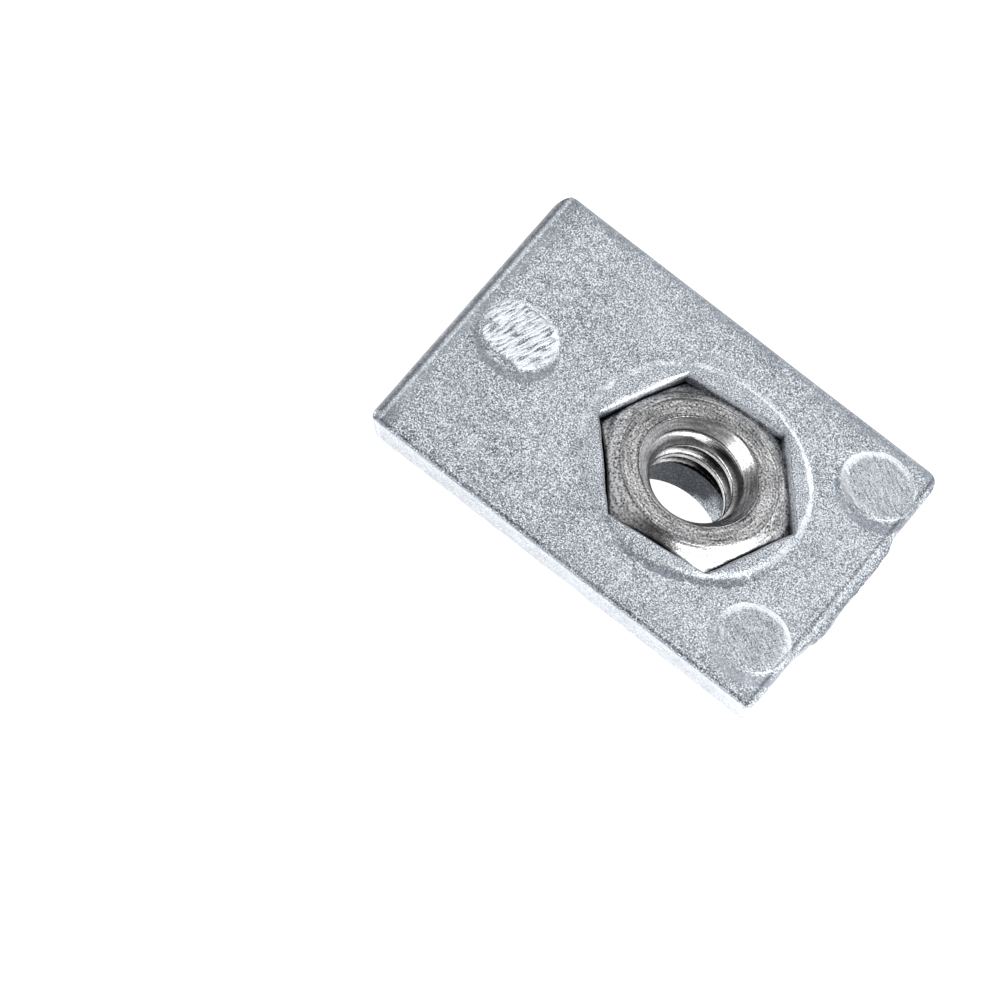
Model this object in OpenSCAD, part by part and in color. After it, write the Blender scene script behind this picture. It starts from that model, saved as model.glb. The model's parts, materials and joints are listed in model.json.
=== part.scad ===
// T slot nut: a dovetail-shaped zinc die casting that holds a stainless hex nut.
// The wide face is up and the narrow face is down, X runs along the slot, and the gate end is at +X.
// The origin is at the middle of the narrow face.

/* [Body] */
// Length of the body along the slot
body_length = 27.7; // [26:0.1:40]
// Width of the wide face, as if both long edges had the land's place
wide_width = 21.8; // [20.5:0.1:30]
// Width of the narrow face, to its sharp corners
narrow_width = 13.1; // [11:0.1:16]
// Height from the narrow face to the wide face
body_height = 7.7; // [7:0.1:10]
// Height of the upright land that the mould's parting line leaves along one long edge
land_height = 0.25; // [0.1:0.05:0.6]

/* [Rounded edges] */
// Radius of the wide face's long edge without the land
wide_side_round = 0.65; // [0.1:0.05:0.8]
// Radius of the land's upper edge
land_round = 0.1; // [0.05:0.01:0.1]
// Radius of the wide face's short edge at the plain end
plain_end_round = 0.9; // [0.1:0.05:1]
// Radius of the wide face's short edge at the gate end
gate_end_round = 0.2; // [0.1:0.05:0.8]
// Radius of the narrow face's long edges
narrow_side_round = 0.35; // [0.1:0.05:0.8]
// Radius of the narrow face's short edges
narrow_end_round = 0.5; // [0.1:0.05:1]
// Radius of the edges where the slanted sides meet the ends
slant_end_round = 0.5; // [0.1:0.05:1]
// Radius of the wide face's corners on the rounded side
blunt_corner_round = 0.9; // [0.2:0.05:1.5]
// Radius of the wide face's corners on the side with the land
sharp_corner_round = 0.45; // [0.1:0.05:1.5]

/* [Hex nut] */
// Width across the nut's flats
nut_flats = 11.11; // [10.6:0.01:11.4]
// Height of the nut
nut_height = 4.76; // [4:0.01:5]
// Radius of the nut's bore at the crests of its thread
nut_bore_radius = 2.55; // [2:0.05:2.8]
// Radius of the countersinks at the nut's faces
nut_countersink_radius = 3.66; // [3.2:0.01:4]
// Radius of the circle that the corner chamfers leave on the nut's faces
nut_face_radius = 4.88; // [4.4:0.01:5.1]
// Slope of the corner chamfers below the nut's faces
nut_chamfer_slope = 30; // [20:1:35]
// How far the nut's face lies below the top of the raised ring
nut_recess = 0.06; // [0:0.01:0.4]

/* [Pocket] */
// Distance of the nut's axis from the middle of the body, towards the gate end
axis_offset = 2.8; // [0:0.05:3.5]
// Angle from the X axis to a corner of the hexagon
hex_turn = 8; // [0:1:59]
// Clearance of the nut's flats at the bottom of the pocket
seat_clearance = 0.03; // [0.01:0.01:0.1]
// Clearance of the nut's flats at the mouth of the pocket
mouth_clearance = 0.16; // [0.1:0.01:0.3]
// Width of the bevel round the pocket's mouth
mouth_bevel = 0.25; // [0.1:0.05:0.4]
// Depth of the bevel round the pocket's mouth
mouth_bevel_depth = 0.2; // [0.1:0.05:0.3]
// Thickness of the web below the nut
web_thickness = 2.3; // [1.6:0.05:2.4]
// Radius of the round relief between the nut's seat and the web
relief_radius = 5.05; // [4.6:0.05:5.1]
// Radius of the screw's clearance hole through the web
screw_hole_radius = 3.85; // [3.4:0.01:4.2]

/* [Raised marks] */
// Outer radius of the ring round the pocket
ring_radius = 7.3; // [7.1:0.05:8]
// Distance of the ring's centre from the nut's axis, towards the plain end
ring_offset = 0.3; // [0:0.05:0.4]
// Height of the ring above the wide face
ring_height = 0.12; // [0.05:0.01:0.3]
// Width of the ring's sloping rim
ring_rim = 0.35; // [0.1:0.05:0.5]
// Height of the ejector-pin marks above the wide face
pin_mark_height = 0.12; // [0.05:0.01:0.3]
// Width of the sloping rims of the ejector-pin marks
pin_mark_rim = 0.25; // [0.1:0.05:0.4]
// Radius of the ejector-pin mark at the plain end
end_mark_radius = 2.45; // [1.8:0.01:2.7]
// Distance of that mark's centre from the plain end
end_mark_inset = 3.55; // [3.5:0.05:4]
// Distance between that mark's two flats
end_mark_flats = 4.2; // [3.2:0.05:4.4]
// Radius of the two ejector-pin marks in the gate end's corners
corner_mark_radius = 2.38; // [1.8:0.01:2.4]
// Distance of their centres from the gate end
corner_mark_inset = 2.5; // [2.5:0.05:3]
// Distance between their centres
corner_mark_spacing = 14.05; // [14:0.05:15]

/* [Gate stub] */
// Width of the stub that the broken gate leaves
gate_width = 9.9; // [5:0.1:14]
// Distance of the stub's middle from the middle of the end, towards the side with the land
gate_shift = 0.55; // [0:0.05:1]
// Height of the stub
gate_height = 1.3; // [0.6:0.1:2]
// Distance from the stub to the wide face
gate_drop = 0.08; // [0.05:0.01:1]
// Furthest reach of the stub beyond the end
gate_reach = 0.55; // [0.2:0.05:1]
// Number of steps along the stub's torn edge
gate_steps = 16; // [8:1:24]
// Share of the stub's width over which it thins out, towards the side with the land
gate_taper = 0.6; // [0.2:0.05:1]
// Share of the stub's reach by which its torn edge varies
gate_raggedness = 0.3; // [0:0.05:0.5]

/* [Hidden] */
$fn = 96;
// Overlap that keeps joined shapes from only touching, and lets cuts pass through
overlap = 1;
slant_height = body_height - land_height;
slant_angle = atan((wide_width - narrow_width) / 2 / slant_height);
// Where the side without the land would meet the wide face, before its edge is rounded
blunt_side = narrow_width / 2 + body_height * tan(slant_angle);
// How far that side reaches once its edge is rounded
blunt_reach = blunt_side - wide_side_round * (1 / tan((90 - slant_angle) / 2) - 1);
ring_top = body_height + ring_height;
nut_bottom = ring_top - nut_recess - nut_height;
nut_corner_radius = nut_flats / 2 / cos(30);
countersink_depth = nut_countersink_radius - nut_bore_radius;
land_edge_round = min(land_round, land_height / 2);

// Direction from one point to another, one unit long
function direction(from, to) = (to - from) / norm(to - from);
// Half of the angle inside an outline's corner
function half_corner(back, forward) = acos(back * forward) / 2;

// A convex outline whose corners, given anticlockwise, are rounded by the radii
module rounded_outline(corners, radii) {
    count = len(corners);
    ends = [for (i = [0 : count - 1])
        let (
            back = direction(corners[i], corners[(i + count - 1) % count]),
            forward = direction(corners[i], corners[(i + 1) % count]),
            half = half_corner(back, forward)
        )
        [
            corners[i] + back * radii[i] / tan(half),
            corners[i] + forward * radii[i] / tan(half),
            corners[i] + direction([0, 0], back + forward) * radii[i] / sin(half)
        ]
    ];
    polygon([for (end = ends) for (k = [0, 1]) end[k]]);
    for (i = [0 : count - 1]) translate(ends[i][2]) circle(radii[i]);
}

// A rectangle between two corners, with a radius for each corner from the lower left one
module rounded_rectangle(low, high, radii) {
    rounded_outline([low, [high[0], low[1]], high, [low[0], high[1]]], radii);
}

// A disc with a sloping rim that stands on the wide face
module raised_disc(radius, height, rim) {
    rotate_extrude() polygon([
        [0, -overlap], [radius, -overlap], [radius, 0], [radius - rim, height], [0, height]
    ]);
}

// The trapezium that fits the slot, along the whole length
module section_bar() {
    translate([-body_length / 2, 0, 0]) rotate([90, 0, 90]) linear_extrude(body_length)
        rounded_outline(
            [
                [narrow_width / 2, 0],
                [blunt_side, body_height],
                [-wide_width / 2, body_height],
                [-wide_width / 2, slant_height],
                [-narrow_width / 2, 0]
            ],
            [narrow_side_round, wide_side_round, land_edge_round, land_edge_round, narrow_side_round]
        );
}

// The side view, which rounds the short edges of both faces
module side_view_bar() {
    translate([0, wide_width, 0]) rotate([90, 0, 0]) linear_extrude(2 * wide_width)
        rounded_rectangle(
            [-body_length / 2, 0], [body_length / 2, body_height],
            [narrow_end_round, narrow_end_round, gate_end_round, plain_end_round]
        );
}

// The plan view, which rounds the wide face's corners
module plan_view_bar(low, high) {
    translate([0, 0, low]) linear_extrude(high - low)
        rounded_rectangle(
            [-body_length / 2, -wide_width / 2], [body_length / 2, blunt_reach],
            [sharp_corner_round, sharp_corner_round, blunt_corner_round, blunt_corner_round]
        );
}

// A bar along the slope of one side, which rounds that side's two slanted edges
module slanted_bar() {
    translate([0, narrow_width / 2, 0]) rotate([-slant_angle, 0, 0])
        translate([0, 0, -wide_width]) linear_extrude(3 * wide_width)
        rounded_rectangle(
            [-body_length / 2, -2 * wide_width], [body_length / 2, 0],
            [slant_end_round, slant_end_round, slant_end_round, slant_end_round]
        );
}

module body_blank() {
    intersection() {
        section_bar();
        side_view_bar();
        plan_view_bar(-overlap, body_height + overlap);
        slanted_bar();
        mirror([0, 1, 0]) slanted_bar();
    }
}

module pin_marks() {
    intersection() {
        plan_view_bar(body_height - overlap, body_height + overlap);
        translate([0, 0, body_height]) union() {
            translate([-body_length / 2 + end_mark_inset, 0, 0]) intersection() {
                raised_disc(end_mark_radius, pin_mark_height, pin_mark_rim);
                cube([4 * end_mark_radius, end_mark_flats, 4 * overlap], center = true);
            }
            for (side = [-1, 1])
                translate([body_length / 2 - corner_mark_inset, side * corner_mark_spacing / 2, 0])
                    raised_disc(corner_mark_radius, pin_mark_height, pin_mark_rim);
        }
    }
}

// How far the stub's torn edge reaches at a step: it thins out towards its first step, and it is ragged
function torn_reach(step) =
    gate_reach
    * min(1, step / gate_steps / gate_taper)
    * (1 - gate_raggedness * (1 + sin(step * 130) * cos(step * 47)) / 2);

module gate_stub() {
    step_width = gate_width / gate_steps;
    translate([body_length / 2, -gate_shift, body_height - gate_drop - gate_height])
        linear_extrude(gate_height)
        polygon([
            [-overlap, gate_width / 2],
            [-overlap, -gate_width / 2],
            [0, -gate_width / 2],
            for (step = [1 : gate_steps - 1]) [torn_reach(step), -gate_width / 2 + step * step_width],
            [0, gate_width / 2]
        ]);
}

// A hexagon with the nut's turn, its flats moved out by a clearance
module hexagon(clearance) {
    rotate(hex_turn) circle(nut_corner_radius + clearance / cos(30), $fn = 6);
}

// The drafted hexagonal pocket, from the nut's seat to its bevelled mouth
module pocket() {
    mouth = ring_top - mouth_bevel_depth;
    widening = (nut_flats / 2 + mouth_clearance) / (nut_flats / 2 + seat_clearance);
    bevel_run = mouth_bevel * (mouth_bevel_depth + overlap) / mouth_bevel_depth;
    bevel_widening = 1 + bevel_run / (nut_flats / 2 + mouth_clearance);
    translate([0, 0, nut_bottom]) linear_extrude(mouth - nut_bottom, scale = widening)
        hexagon(seat_clearance);
    translate([0, 0, mouth]) linear_extrude(mouth_bevel_depth + overlap, scale = bevel_widening)
        hexagon(mouth_clearance);
    translate([0, 0, web_thickness])
        cylinder(h = nut_bottom - web_thickness + overlap / 2, r = relief_radius);
}

module slider_body() {
    color([0.70, 0.73, 0.76]) difference() {
        union() {
            body_blank();
            translate([axis_offset - ring_offset, 0, body_height])
                raised_disc(ring_radius, ring_height, ring_rim);
            pin_marks();
            gate_stub();
        }
        translate([axis_offset, 0, 0]) {
            pocket();
            translate([0, 0, -overlap]) cylinder(h = web_thickness + 2 * overlap, r = screw_hole_radius);
        }
    }
}

// The solid of revolution that chamfers the nut's corners at both faces
module nut_turning() {
    outer = nut_corner_radius + overlap;
    drop = (outer - nut_face_radius) * tan(nut_chamfer_slope);
    rotate_extrude() polygon([
        [0, 0], [nut_face_radius, 0], [outer, drop],
        [outer, nut_height - drop], [nut_face_radius, nut_height], [0, nut_height]
    ]);
}

// The bore with its countersinks at both faces
module nut_bore() {
    top = nut_countersink_radius + overlap;
    rotate_extrude() polygon([
        [0, -overlap], [top, -overlap],
        [nut_bore_radius, countersink_depth], [nut_bore_radius, nut_height - countersink_depth],
        [top, nut_height + overlap], [0, nut_height + overlap]
    ]);
}

module hex_nut() {
    color([0.68, 0.66, 0.63]) translate([axis_offset, 0, nut_bottom]) difference() {
        intersection() {
            linear_extrude(nut_height) hexagon(0);
            nut_turning();
        }
        nut_bore();
    }
}

slider_body();
hex_nut();
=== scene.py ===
"""A dovetail T slot nut, a zinc casting round a stainless hex nut, on a pale studio floor.

Lengths are in millimetres until a mesh, a lamp or the camera is made, and angles are in degrees where they
aren't made with np.radians or np.arctan.
"""
import json
from collections import namedtuple
from functools import partial, reduce

import bpy
import numpy as np
from mathutils import Matrix, Vector


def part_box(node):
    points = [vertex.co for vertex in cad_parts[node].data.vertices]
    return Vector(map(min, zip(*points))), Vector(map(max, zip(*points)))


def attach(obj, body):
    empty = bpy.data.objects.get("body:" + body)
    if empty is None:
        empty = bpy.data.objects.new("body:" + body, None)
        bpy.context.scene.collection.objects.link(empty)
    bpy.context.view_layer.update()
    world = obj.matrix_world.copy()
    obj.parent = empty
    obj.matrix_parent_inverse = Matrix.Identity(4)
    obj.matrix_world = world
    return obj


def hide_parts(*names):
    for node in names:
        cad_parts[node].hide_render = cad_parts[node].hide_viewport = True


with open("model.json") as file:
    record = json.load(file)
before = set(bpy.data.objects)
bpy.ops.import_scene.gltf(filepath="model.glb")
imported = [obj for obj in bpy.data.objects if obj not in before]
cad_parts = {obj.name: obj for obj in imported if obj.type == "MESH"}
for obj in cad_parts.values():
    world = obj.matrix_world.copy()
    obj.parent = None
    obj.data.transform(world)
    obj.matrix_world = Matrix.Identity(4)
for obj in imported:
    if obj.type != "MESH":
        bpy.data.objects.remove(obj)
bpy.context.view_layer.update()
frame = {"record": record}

MM = 0.001
X, Y, Z = range(3)


def in_mm(corner):
    """A corner of a box, in millimetres."""
    return np.array(corner) / MM


MOUNTS = {mount["name"]: mount for mount in frame["record"]["mounts"]}
THREAD = MOUNTS["screw_thread"]
CLEARANCE = MOUNTS["screw_clearance"]
BODY_LOW, BODY_HIGH = map(in_mm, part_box("slider_body"))
NUT_LOW, NUT_HIGH = map(in_mm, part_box("hex_nut"))

# The casting's overall form
RING_HEIGHT = 0.12
HALF_LENGTH = -BODY_LOW[X]
HALF_WIDTH = -BODY_LOW[Y]
WIDE_FACE = BODY_HIGH[Z] - RING_HEIGHT
NARROW_HALF = 6.55
LAND_HEIGHT = 0.25
LAND_FOOT = WIDE_FACE - LAND_HEIGHT
BLUNT_REACH = BODY_HIGH[Y]

# The slanted sides' angle from upright, and where the blunt one would meet the wide face
SLANT = np.arctan((HALF_WIDTH - NARROW_HALF) / LAND_FOOT)
BLUNT_SIDE = NARROW_HALF + WIDE_FACE * np.tan(SLANT)

# Radii of the casting's rounded edges
WIDE_SIDE_ROUND = 0.65
LAND_ROUND = 0.1
PLAIN_END_ROUND = 0.9
GATE_END_ROUND = 0.2
NARROW_SIDE_ROUND = 0.35
NARROW_END_ROUND = 0.5
SLANT_END_ROUND = 0.5
BLUNT_CORNER_ROUND = 1.5
SHARP_CORNER_ROUND = 0.6

# How far out of square the gate end was trimmed, from the distance off the middle that it starts at
GATE_SKEW = 0.0175
SKEW_START = 6

# The screw's axis, and the raised ring that is cast a little off it
AXIS_X = THREAD["pos_m"][X] / MM
RING_X = AXIS_X - 0.3
RING_RADIUS = 7.3
RING_RIM = 0.5
RING_WAVE = 0.05
RING_CHIPS = 0.03

# The broken trough outside the ring, between two angles round the ring's middle
TROUGH_ANGLES = (-112, 10)
TROUGH_FADE = 25
TROUGH_OFFSET = 0.2
TROUGH_HALF_WIDTH = 0.25
TROUGH_WANDER = 0.12
TROUGH_DEPTH = 0.07

# The marks of the ejector pins. A mark whose half_flats is below its radius has flats along X, turn is that
# of its tool marks, and tone lifts its shade if it isn't hatched. Its rim has a painted highlight round the
# shine, a place given from its centre, and a painted bright line; its halo has a painted shadow.
Mark = namedtuple("Mark", "x y radius half_flats turn hatched tone shine rim_wear line_wear halo_shade")
MARKS = (
    Mark(
        x=-10.285, y=-0.1, radius=2.45, half_flats=2.1, turn=71.6, hatched=True, tone=0,
        shine=(0.4, 0.4), rim_wear=0.35, line_wear=0.1, halo_shade=0.72,
    ),
    Mark(
        x=11.365, y=7.1, radius=2.38, half_flats=2.38, turn=-29.4, hatched=False, tone=0.2,
        shine=(-0.6, 0.2), rim_wear=0.6, line_wear=0.4, halo_shade=0.78,
    ),
    Mark(
        x=11.265, y=-6.95, radius=2.36, half_flats=2.36, turn=-29.4, hatched=False, tone=0.05,
        shine=(0.1, 0.6), rim_wear=0.6, line_wear=0.35, halo_shade=0.95,
    ),
)
MARK_HEIGHT = 0.12
MARK_RIM = 0.3
MARK_HALO = 0.6
MARK_HALO_DEPTH = 0.03

# The pocket, the relief below the nut and the screw's hole
HEX_TURN = 8
HALF_SECTOR = np.radians(30)
APOTHEM = 11.11 / 2
SEAT_CLEARANCE = 0.03
WEB = CLEARANCE["dims"]["length_mm"]
RELIEF_RADIUS = 5.05
HOLE_RADIUS = CLEARANCE["dims"]["r_mm"]
HOLE_EDGE = 0.04
POINTS_A_SIDE = 18
CUT_THROUGH = 1
CUT_ABOVE = 0.1

# The pocket's mouth, which wanders and lies a little off centre, and its lip, which is wide round one angle
MOUTH_CLEARANCE = 0.11
MOUTH_WANDER = 0.035
MOUTH_SHIFT = (-0.05, -0.14)
LIP = 0.3
WIDE_LIP = 0.5
WIDE_LIP_ANGLE = 158
WIDE_LIP_SPREAD = 30
LIP_HEIGHT = 0.4
LIP_STEEPNESS = 1.3
LIP_BENDS = (0, 20, 38, 54, 68, 80)

# The stub that the broken gate left along the gate end. Tapers and rounds are at its low and its high end.
GATE_Y = (-6.2, 5)
GATE_TAPERS = (3, 1.4)
GATE_ROUNDS = (0.3, 0.12)
GATE_TOP = 0.08
GATE_HEIGHT = 1.3
GATE_REACH = 0.5

# How far the casting's skin waves and ripples
SKIN_WAVE = 0.012
SKIN_RIPPLE = 0.004

# How often the blank's points are pulled onto its surface
BLANK_PULLS = 5

# Steps of the casting's mesh, coarse on the flats and fine in from the edges
FLAT_STEP = 0.135
WALL_STEP = 0.4
EDGE_STEPS = np.array([0, 0.03, 0.08, 0.15, 0.24, 0.35, 0.48, 0.62])
END_STEPS = np.append(EDGE_STEPS, [0.76, 0.9])
UPPER_STEPS = np.array(
    [0, 0.03, 0.07, 0.12, 0.18, 0.25, 0.33, 0.42, 0.52, 0.64, 0.78, 0.94, 1.1, 1.26, 1.4, 1.6]
)

# Edges that bend by more than this are shaded sharp
CREASE = 32

# The nut's thread, and how softly its edges and those of the countersinks are rounded
BORE_RADIUS = THREAD["dims"]["r_mm"]
ROOT_RADIUS = 3.175
PITCH = 1.27
ROOT_FLAT = PITCH / 8
FLANK_ANGLE = np.radians(30)
THREAD_START = 0.15
THREAD_ROUND = 0.06
EDGE_BLEND = 0.02

# Its countersinks, faces and chamfers. Slopes are heights for a millimetre inwards or outwards.
COUNTERSINK_RADIUS = 3.66
COUNTERSINK_SLOPE = 1.2
FACE_RADIUS = 4.88
CHAMFER_SLOPE = float(np.tan(np.radians(30)))
NUT_CORNER_ROUND = 0.1

# Rows and columns of its mesh, with the angles of extra columns at the hexagon's corners
BORE_ROWS = 230
RIM_ROWS = 4
COLUMN_STEP = 1.5
CORNER_COLUMNS = (-1.2, -0.7, -0.3, 0.3, 0.7, 1.2)

# The zinc's painted shade and painted highlights, in bands along the sides of the wide face. Each starts at
# the first distance in from its side, is full from the second outwards, and is then the third number times
# the plain shade: below 1 it is painted shade, above 1 a painted highlight.
PLAIN_END_BANDS = ((1.8, 0.8, 0.86), (0.74, 0.64, 1.6), (0.52, 0.42, 0.62))
GATE_END_BANDS = ((0.55, 0.45, 0.55), (0.36, 0.26, 2))
FAR_SIDE_BANDS = ((3, 1, 0.94), (0.9, 0.6, 0.78))
LAND_BANDS = ((1.8, 0.6, 0.86), (0.24, 0.18, 0.6))

# The zinc's shade elsewhere, as factors too: pairs are the darkest and the brightest.
# Below the edges, low on the sides, inside and towards the plain end these are painted shade; in the hole
# it rises to painted light towards the gate end and the floor. The trough is darker; blotches are random.
BELOW_EDGE_SHADE = 0.36
LOW_SHADE = 0.8
TROUGH_SHADE = 0.55
HOLE_SHADES = (0.12, 1.3)
BLOTCH_SHADES = (0.71, 0.87)
END_TO_END_SHADES = (0.94, 1.05)
SHADE_LIMITS = (0.08, 1.75)

# The grain where the skin is smooth, and how smooth it is along two sides and on the marks
SMOOTH_GRAIN = 0.3
SMOOTH_SIDES = 0.8
SMOOTH_MARKS = 0.35

# How far the rims and the borders of areas wander, and where the ring's painted highlight and the trough
# are centred
RIM_WANDER = 0.12
SKIN_WANDER = 0.3
RING_HIGHLIGHT_CENTRE = (RING_X - 0.4, 2.5)
TROUGH_CENTRE = (AXIS_X + 3.4, -6.4)

# How much painted highlights lift the zinc's shade on its rims, and the factors that chips change that by
RING_HIGHLIGHT = 0.55
WIDE_LIP_HIGHLIGHT = 0.65
FAR_WALL_HIGHLIGHT = 0.8
NEAR_LIP_HIGHLIGHT = 0.4
CHIPS = (0.3, 1.2)

# How much the grain and the tool marks lift the zinc's shade, from the least to the most
SPECK_LIFTS = (-0.66, 0.42)
SPARKLE_LIFT = 1.8
SPARKLE_CLUMPS = (0.6, 1.4)
CURL_LIFT = 0.5
HATCH_LIFTS = (-0.3, 0.85)
SCRATCH_LIFTS = (-0.25, 0.25)

# Waves a millimetre in the zinc's grain and across its tool marks, how many times as long as wide these
# are, how much higher they stand, and the depth of it all
ZINC_GRAIN = 11
TOOL_MARKS = 6
TOOL_MARK_LENGTH = 6
TOOL_MARK_HEIGHT = 0.7
ZINC_BUMP = 0.05

# The zinc's red, green and blue, each for a dark and for a bright shade
ZINC_TINTS = ((0.475, 0.515), (0.525, 0.54), (0.6, 0.57))

# Roughness of the metals, and how much rougher some parts of the nut are
ROUGHNESS = 0.3
SHINY_ROUGHNESS = 0.19
FAR_CHAMFER_ROUGHER = 0.2
LEFT_BORE_ROUGHER = 0.25
CONE_ROUGHER = 0.16

# The steel's colour, and its grain and turned rings in waves a millimetre
STEEL_COLOUR = (0.595, 0.595, 0.605)
STEEL_GRAIN = 8
STEEL_RINGS = 6
STEEL_BUMP = 0.03

# The steel's shade, as factors: pairs are the darkest and the brightest
FACE_SPECKS = (0.05, 1.95)
FACE_RINGS = (0.4, 1.6)
FACE_SHADE = 0.7
FACE_LINE_SHADE = 0.34
BRIGHTEST_STEEL = 1.5
# Painted shade in the gap round the nut, along its near rim, in the thread's grooves and on its last turn
GAP_SHADE = 0.1
RIM_SHADE = 0.15
GROOVE_SHADE = 0.12
LAST_TURN_SHADE = 0.15

# The face's painted reflection is darkest towards the first angle, and the chamfer shines towards the second
FACE_SHADE_ANGLE = 128
GLINT_ANGLE = 303

# The photograph's camera, and how far from the middle of its view the wide face lies
CAMERA_AZIMUTH = 6.56
CAMERA_ELEVATION = 54.98
CAMERA_ROLL = 32.43
CAMERA_DISTANCE = 404.62
FACE_RIGHT = 9.308
FACE_UP = 3.309
LENS = 252
SENSOR = 36

# How near and how far it sees
NEAREST = 10
FARTHEST = 20000

# The room's plain brightness, and its areas: azimuth, elevation, half width, half height and blur in
# degrees, and how much brighter each is
ROOM = 0.45
ROOM_AREAS = (
    (105, 27, 50, 13, 5, 1.1),
    (97, 53, 48, 15, 8, 0.4),
    (120, 3, 80, 9, 4, -0.35),
    (-85, 66, 42, 18, 8, -0.38),
    (-44, 28, 20, 14, 8, -0.25),
)

# The lamps: azimuth, elevation, width and height in degrees as the part sees them, and radiance
SOFTBOXES = {
    "left_softbox": (-125, 24, 46, 22, 2.6),
    "right_softbox": (-12, 57, 46, 20, 3.5),
    "low_softbox": (14, 38, 26, 26, 2.5),
}
LAMP_DISTANCE = 500

# The floor's half size and shade, and how strongly it glows for the camera and in the metal
FLOOR_HALF = 2000
FLOOR_SHADE = 0.9
FLOOR_GLOW = 0.62
FLOOR_MIRRORED = 1

# Cells along each axis of the lattice behind the lumps, and a shift that keeps its places above 0
LATTICE = 32
LATTICE_SHIFT = 1000


def unit(vectors):
    """The vectors, one unit long."""
    return vectors / np.linalg.norm(vectors, axis=-1, keepdims=True)


def smooth(share):
    """0 below 0, 1 above 1, and a soft rise between."""
    share = np.clip(share, 0, 1)
    return share * share * (3 - 2 * share)


def lumps(points, size, seed):
    """Soft random lumps about a size across, between -1 and 1, at an array of points."""
    lattice = np.random.default_rng(seed).uniform(-1, 1, (LATTICE, LATTICE, LATTICE))
    place = np.asarray(points, float) / size + LATTICE_SHIFT
    cell = np.floor(place).astype(int)
    share = smooth(place - cell)
    total = 0
    for corner in np.ndindex(2, 2, 2):
        weight = np.prod(np.where(corner, share, 1 - share), axis=-1)
        total = total + weight * lattice[tuple(((cell + corner) % LATTICE).T)]
    return total


class Outline:
    """A convex outline whose corners, given anticlockwise, are rounded by the radii."""

    def __init__(self, corners, radii):
        self.corners = np.array(corners, float)
        self.radii = np.array(radii, float)
        self.back = unit(np.roll(self.corners, 1, 0) - self.corners)
        self.forward = unit(np.roll(self.corners, -1, 0) - self.corners)
        half = np.arccos((self.back * self.forward).sum(1)) / 2
        inward = unit(self.back + self.forward)
        self.centres = self.corners + inward * (self.radii / np.sin(half))[:, None]
        self.normals = np.c_[self.forward[:, 1], -self.forward[:, 0]]

    def distance(self, u, v):
        """Distance of points from the outline, below 0 inside it."""
        place = np.stack([u, v], -1)
        found = ((place[:, None] - self.corners) * self.normals).sum(2).max(1)
        for back, forward, centre, radius in zip(self.back, self.forward, self.centres, self.radii):
            arm = place - centre
            at_corner = (arm @ back < 0) & (arm @ forward < 0)
            found[at_corner] = np.linalg.norm(arm[at_corner], axis=1) - radius
        return found


SECTION = Outline(
    [
        (NARROW_HALF, 0),
        (BLUNT_SIDE, WIDE_FACE),
        (-HALF_WIDTH, WIDE_FACE),
        (-HALF_WIDTH, LAND_FOOT),
        (-NARROW_HALF, 0),
    ],
    [NARROW_SIDE_ROUND, WIDE_SIDE_ROUND, LAND_ROUND, LAND_ROUND, NARROW_SIDE_ROUND],
)
SIDE_VIEW = Outline(
    [(-HALF_LENGTH, 0), (HALF_LENGTH, 0), (HALF_LENGTH, WIDE_FACE), (-HALF_LENGTH, WIDE_FACE)],
    [NARROW_END_ROUND, NARROW_END_ROUND, GATE_END_ROUND, PLAIN_END_ROUND],
)
PLAN_VIEW = Outline(
    [
        (-HALF_LENGTH, -HALF_WIDTH),
        (HALF_LENGTH, -HALF_WIDTH),
        (HALF_LENGTH, BLUNT_REACH),
        (-HALF_LENGTH, BLUNT_REACH),
    ],
    [SHARP_CORNER_ROUND, SHARP_CORNER_ROUND, BLUNT_CORNER_ROUND, BLUNT_CORNER_ROUND],
)
SLANTED_SIDE = Outline(
    [(-HALF_LENGTH, -4 * HALF_WIDTH), (HALF_LENGTH, -4 * HALF_WIDTH), (HALF_LENGTH, 0), (-HALF_LENGTH, 0)],
    [SLANT_END_ROUND] * 4,
)


def blank_distance(places):
    """Distance of points from the casting's blank, below 0 inside it."""
    x, y, z = places.T
    slants = [(side * y - NARROW_HALF) * np.cos(SLANT) - z * np.sin(SLANT) for side in (-1, 1)]
    return np.max(
        [SECTION.distance(y, z), SIDE_VIEW.distance(x, z), PLAN_VIEW.distance(x, y)]
        + [SLANTED_SIDE.distance(x, slant) for slant in slants],
        axis=0,
    )


def blank_normal(places, step=0.01):
    """Directions straight out of the blank's surface."""
    slopes = [
        blank_distance(places + step * axis) - blank_distance(places - step * axis) for axis in np.eye(3)
    ]
    return unit(np.stack(slopes, -1))


def fine_ends(low, high, step, low_steps, high_steps):
    """Places from low to high, a step apart, with finer steps at both ends."""
    inner_low, inner_high = low + low_steps[-1], high - high_steps[-1]
    inner = np.linspace(inner_low, inner_high, round((inner_high - inner_low) / step) + 1)
    return np.concatenate([low + low_steps[:-1], inner, high - high_steps[-2::-1]])


def box_grid(counts):
    """Grid places on a box's surface, as whole numbers, and the quads between them."""
    last = np.array(counts) - 1
    index = np.full(counts, -1)
    places = np.argwhere(np.ones(counts, bool))
    places = places[((places == 0) | (places == last)).any(1)]
    index[tuple(places.T)] = np.arange(len(places))
    quads = []
    for axis in range(3):
        for end in (0, -1):
            side = np.take(index, end, axis)
            faces = np.stack([side[:-1, :-1], side[1:, :-1], side[1:, 1:], side[:-1, 1:]], -1).reshape(-1, 4)
            flipped = (axis == 1) == (end == -1)
            quads.append(faces[:, ::-1] if flipped else faces)
    return places, np.concatenate(quads)


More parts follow.
